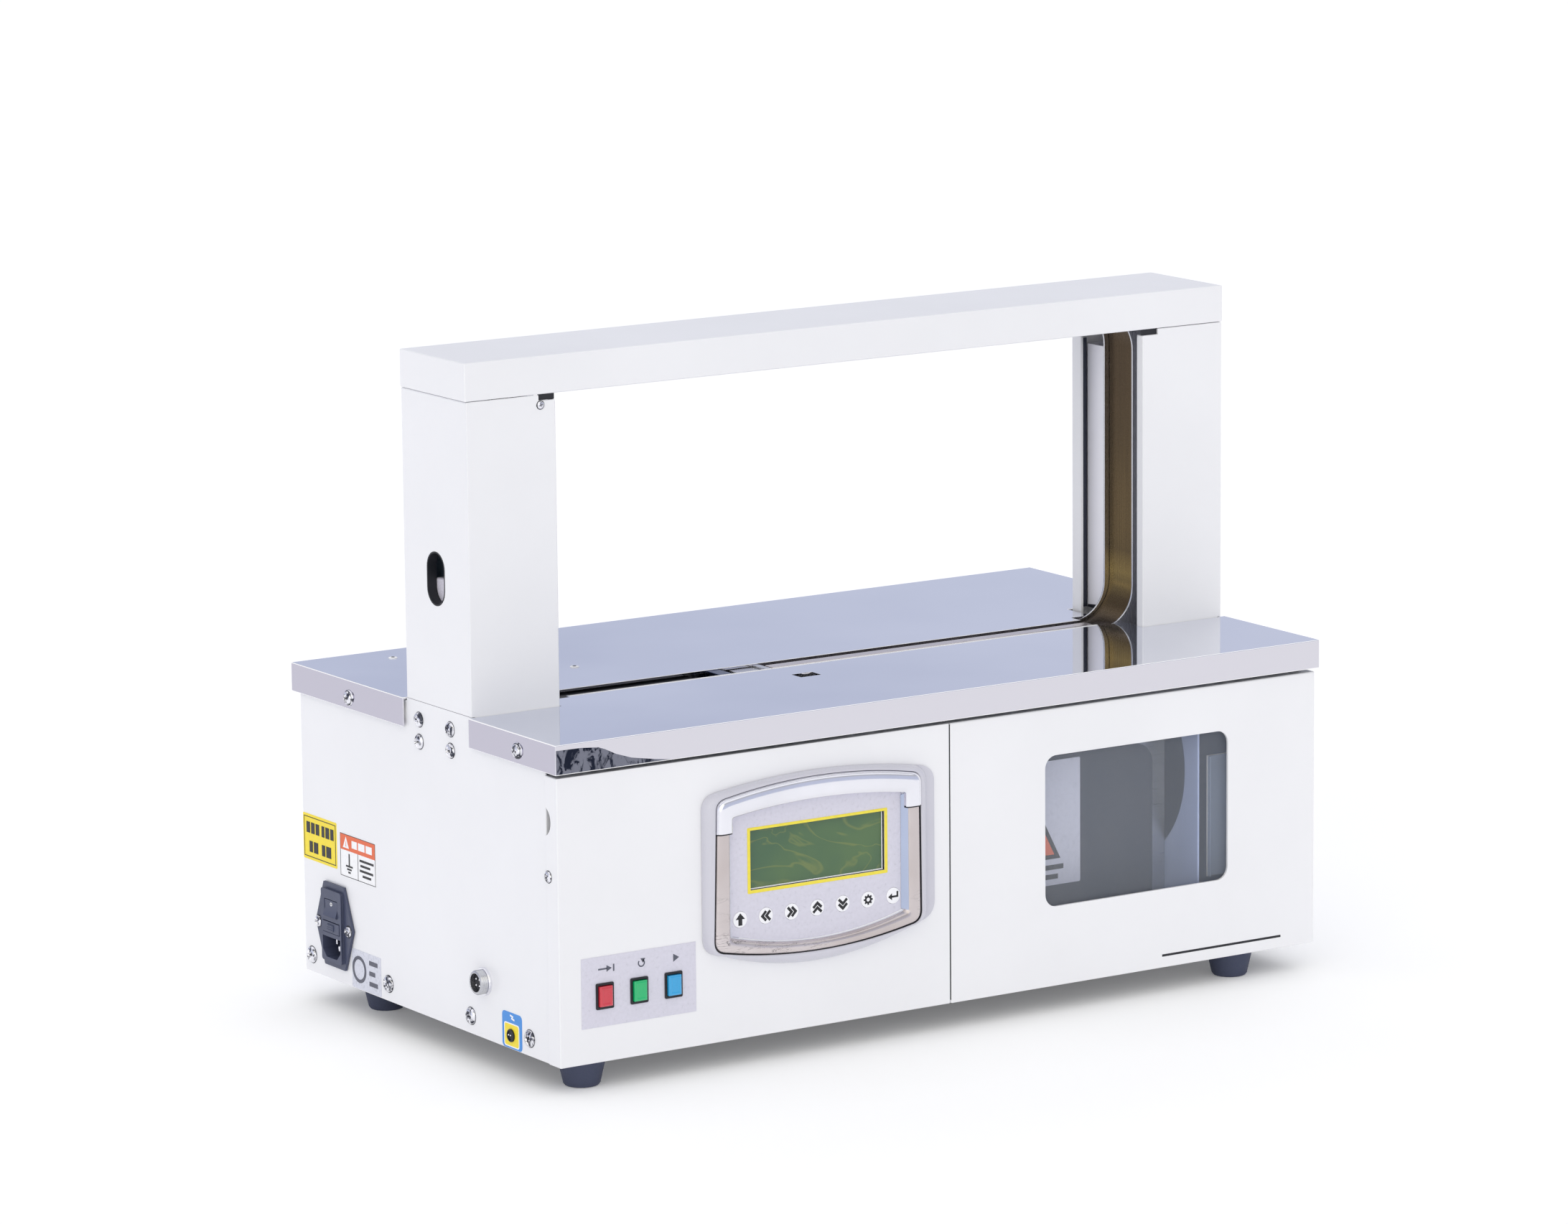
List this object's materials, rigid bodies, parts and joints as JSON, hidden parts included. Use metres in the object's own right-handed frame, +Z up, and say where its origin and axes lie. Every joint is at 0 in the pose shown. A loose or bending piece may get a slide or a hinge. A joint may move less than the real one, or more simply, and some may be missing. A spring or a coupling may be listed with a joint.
{
  "type": "semi automatic strapping machine",
  "caption": "Table-top semi automatic strapping machine: white sheet-metal cabinet, slotted steel table, tape arch, keypad panel, window door, rollers and sealing head inside.",
  "frame": {"origin": "centre of the bounding box at the feet's bottom faces", "axes": "+X along the table towards the window door, +Y to the back, +Z up"},
  "size_m": [0.6266, 0.3536, 0.4705],
  "materials": {
    "white_paint": "satin powder coat",
    "polished_steel": "polished",
    "steel": "satin",
    "bronze_track": "dark bronze brushed",
    "blue_steel": "blued",
    "aluminium": "machined",
    "grey_paint": "satin",
    "light_grey_paint": "gloss",
    "panel_plastic": "satin",
    "display": "gloss",
    "window_plastic": "clear tinted",
    "rubber": "moulded",
    "black_plastic": "satin",
    "brass": "satin",
    "key_plastic": "satin",
    "red_lens": "gloss",
    "green_lens": "gloss",
    "blue_lens": "gloss"
  },
  "bodies": {
    "machine": {"left_side_panel": "white_paint", "right_side_panel": "white_paint", "rear_cover": "white_paint", "control_cover": "white_paint", "left_post": "white_paint", "right_post": "white_paint", "arch_beam": "white_paint", "table_front_plate": "polished_steel", "table_rear_plate": "polished_steel", "base_pan": "steel", "track_front_guide": "steel", "track_rear_guide": "steel", "reel_spindle": "steel", "hinge_leaf_fixed": "steel", "foot_switch_connector": "steel", "track_band": "bronze_track", "head_block": "aluminium", "main_plate": "aluminium", "belt_guard": "grey_paint", "left_track_bracket": "light_grey_paint", "right_track_bracket": "light_grey_paint", "bay_divider": "light_grey_paint", "panel_bezel": "panel_plastic", "display_board": "display", "foot_front_left": "rubber", "foot_front_right": "rubber", "foot_rear_left": "rubber", "foot_rear_right": "rubber", "cam_motor": "black_plastic", "feed_motor": "black_plastic", "timing_belt": "black_plastic", "switch_block": "black_plastic", "power_inlet": "black_plastic"},
    "door": {"window_door": "white_paint", "window_pane": "window_plastic", "hinge_leaf_door": "steel"},
    "feed_button": {"feed_button": "red_lens"},
    "reset_button": {"reset_button": "green_lens"},
    "start_button": {"start_button": "blue_lens"},
    "key_up": {"key_up": "key_plastic"},
    "key_left": {"key_left": "key_plastic"},
    "key_right": {"key_right": "key_plastic"},
    "key_page_up": {"key_page_up": "key_plastic"},
    "key_page_down": {"key_page_down": "key_plastic"},
    "key_set": {"key_set": "key_plastic"},
    "key_enter": {"key_enter": "key_plastic"},
    "power_rocker": {"power_rocker": "black_plastic"},
    "fuse_drawer": {"fuse_drawer": "black_plastic"},
    "feed_roller": {"feed_roller": "rubber", "feed_pulley": "aluminium"},
    "pinch_roller": {"pinch_roller": "steel"},
    "motor_pulley": {"motor_pulley": "aluminium"},
    "cam_shaft": {"cam_shaft": "steel"},
    "left_gripper": {"left_gripper": "blue_steel"},
    "right_gripper": {"right_gripper": "steel"},
    "cutter_blade": {"cutter_blade": "steel"},
    "press_platen": {"press_platen": "steel"},
    "anvil_plate": {"anvil_plate": "steel"},
    "heater_blade": {"heater_blade": "brass"},
    "tape_reel": {"tape_reel": "panel_plastic"}
  },
  "joints": [
    {"name": "door_swing", "type": "hinge", "parent": "machine", "child": "door", "pos_m": [0.31125, -0.15335, 0.1175], "axis": [0, 0, 1], "range_deg": [0, 105]},
    {"name": "feed_button_press", "type": "slide", "parent": "machine", "child": "feed_button", "axis": [0, 1, 0], "range_m": [0, 0.002], "stiffness_N_per_m": 400, "springref_m": -0.002},
    {"name": "reset_button_press", "type": "slide", "parent": "machine", "child": "reset_button", "axis": [0, 1, 0], "range_m": [0, 0.002], "stiffness_N_per_m": 400, "springref_m": -0.002},
    {"name": "start_button_press", "type": "slide", "parent": "machine", "child": "start_button", "axis": [0, 1, 0], "range_m": [0, 0.002], "stiffness_N_per_m": 400, "springref_m": -0.002},
    {"name": "key_up_press", "type": "slide", "parent": "machine", "child": "key_up", "axis": [0, 1, 0], "range_m": [0, 0.0004], "stiffness_N_per_m": 1500, "springref_m": -0.0003},
    {"name": "key_left_press", "type": "slide", "parent": "machine", "child": "key_left", "axis": [0, 1, 0], "range_m": [0, 0.0004], "stiffness_N_per_m": 1500, "springref_m": -0.0003},
    {"name": "key_right_press", "type": "slide", "parent": "machine", "child": "key_right", "axis": [0, 1, 0], "range_m": [0, 0.0004], "stiffness_N_per_m": 1500, "springref_m": -0.0003},
    {"name": "key_page_up_press", "type": "slide", "parent": "machine", "child": "key_page_up", "axis": [0, 1, 0], "range_m": [0, 0.0004], "stiffness_N_per_m": 1500, "springref_m": -0.0003},
    {"name": "key_page_down_press", "type": "slide", "parent": "machine", "child": "key_page_down", "axis": [0, 1, 0], "range_m": [0, 0.0004], "stiffness_N_per_m": 1500, "springref_m": -0.0003},
    {"name": "key_set_press", "type": "slide", "parent": "machine", "child": "key_set", "axis": [0, 1, 0], "range_m": [0, 0.0004], "stiffness_N_per_m": 1500, "springref_m": -0.0003},
    {"name": "key_enter_press", "type": "slide", "parent": "machine", "child": "key_enter", "axis": [0, 1, 0], "range_m": [0, 0.0004], "stiffness_N_per_m": 1500, "springref_m": -0.0003},
    {"name": "power_rocker_tip", "type": "hinge", "parent": "machine", "child": "power_rocker", "pos_m": [-0.30995, 0.12555, 0.0714], "axis": [0, -1, 0], "range_deg": [0, 18]},
    {"name": "fuse_drawer_slide", "type": "slide", "parent": "machine", "child": "fuse_drawer", "axis": [-1, 0, 0], "range_m": [0, 0.015]},
    {"name": "feed_roller_spin", "type": "hinge", "parent": "machine", "child": "feed_roller", "pos_m": [-0.00915, -0.02175, 0.192], "axis": [0, 1, 0], "continuous": true},
    {"name": "pinch_roller_spin", "type": "hinge", "parent": "machine", "child": "pinch_roller", "pos_m": [-0.00915, -0.02175, 0.1614], "axis": [0, 1, 0], "continuous": true},
    {"name": "motor_pulley_spin", "type": "hinge", "parent": "machine", "child": "motor_pulley", "pos_m": [0.10085, -0.1235, 0.105], "axis": [0, 1, 0], "continuous": true},
    {"name": "cam_shaft_spin", "type": "hinge", "parent": "machine", "child": "cam_shaft", "pos_m": [-0.07215, -0.02175, 0.135], "axis": [1, 0, 0], "continuous": true},
    {"name": "left_gripper_lift", "type": "slide", "parent": "machine", "child": "left_gripper", "axis": [0, 0, 1], "range_m": [-0.003, 0], "stiffness_N_per_m": 1500, "springref_m": 0.004},
    {"name": "cutter_lift", "type": "slide", "parent": "machine", "child": "cutter_blade", "axis": [0, 0, 1], "range_m": [-0.003, 0], "stiffness_N_per_m": 1200, "springref_m": 0.004},
    {"name": "platen_lift", "type": "slide", "parent": "machine", "child": "press_platen", "axis": [0, 0, 1], "range_m": [-0.003, 0], "stiffness_N_per_m": 2500, "springref_m": 0.004},
    {"name": "right_gripper_lift", "type": "slide", "parent": "machine", "child": "right_gripper", "axis": [0, 0, 1], "range_m": [-0.003, 0], "stiffness_N_per_m": 1200, "springref_m": 0.004},
    {"name": "anvil_retract", "type": "slide", "parent": "machine", "child": "anvil_plate", "axis": [0, 1, 0], "range_m": [0, 0.034], "stiffness_N_per_m": 120, "springref_m": -0.008},
    {"name": "heater_advance", "type": "slide", "parent": "machine", "child": "heater_blade", "axis": [0, -1, 0], "range_m": [0, 0.032], "stiffness_N_per_m": 120, "springref_m": -0.008},
    {"name": "reel_spin", "type": "hinge", "parent": "machine", "child": "tape_reel", "pos_m": [0.14585, -0.02175, 0.105], "axis": [0, 1, 0], "continuous": true}
  ],
  "couplings": [
    {"joint": "pinch_roller_spin", "follows": "feed_roller_spin", "ratio": -1.5},
    {"joint": "motor_pulley_spin", "follows": "feed_roller_spin", "ratio": 1.5}
  ]
}
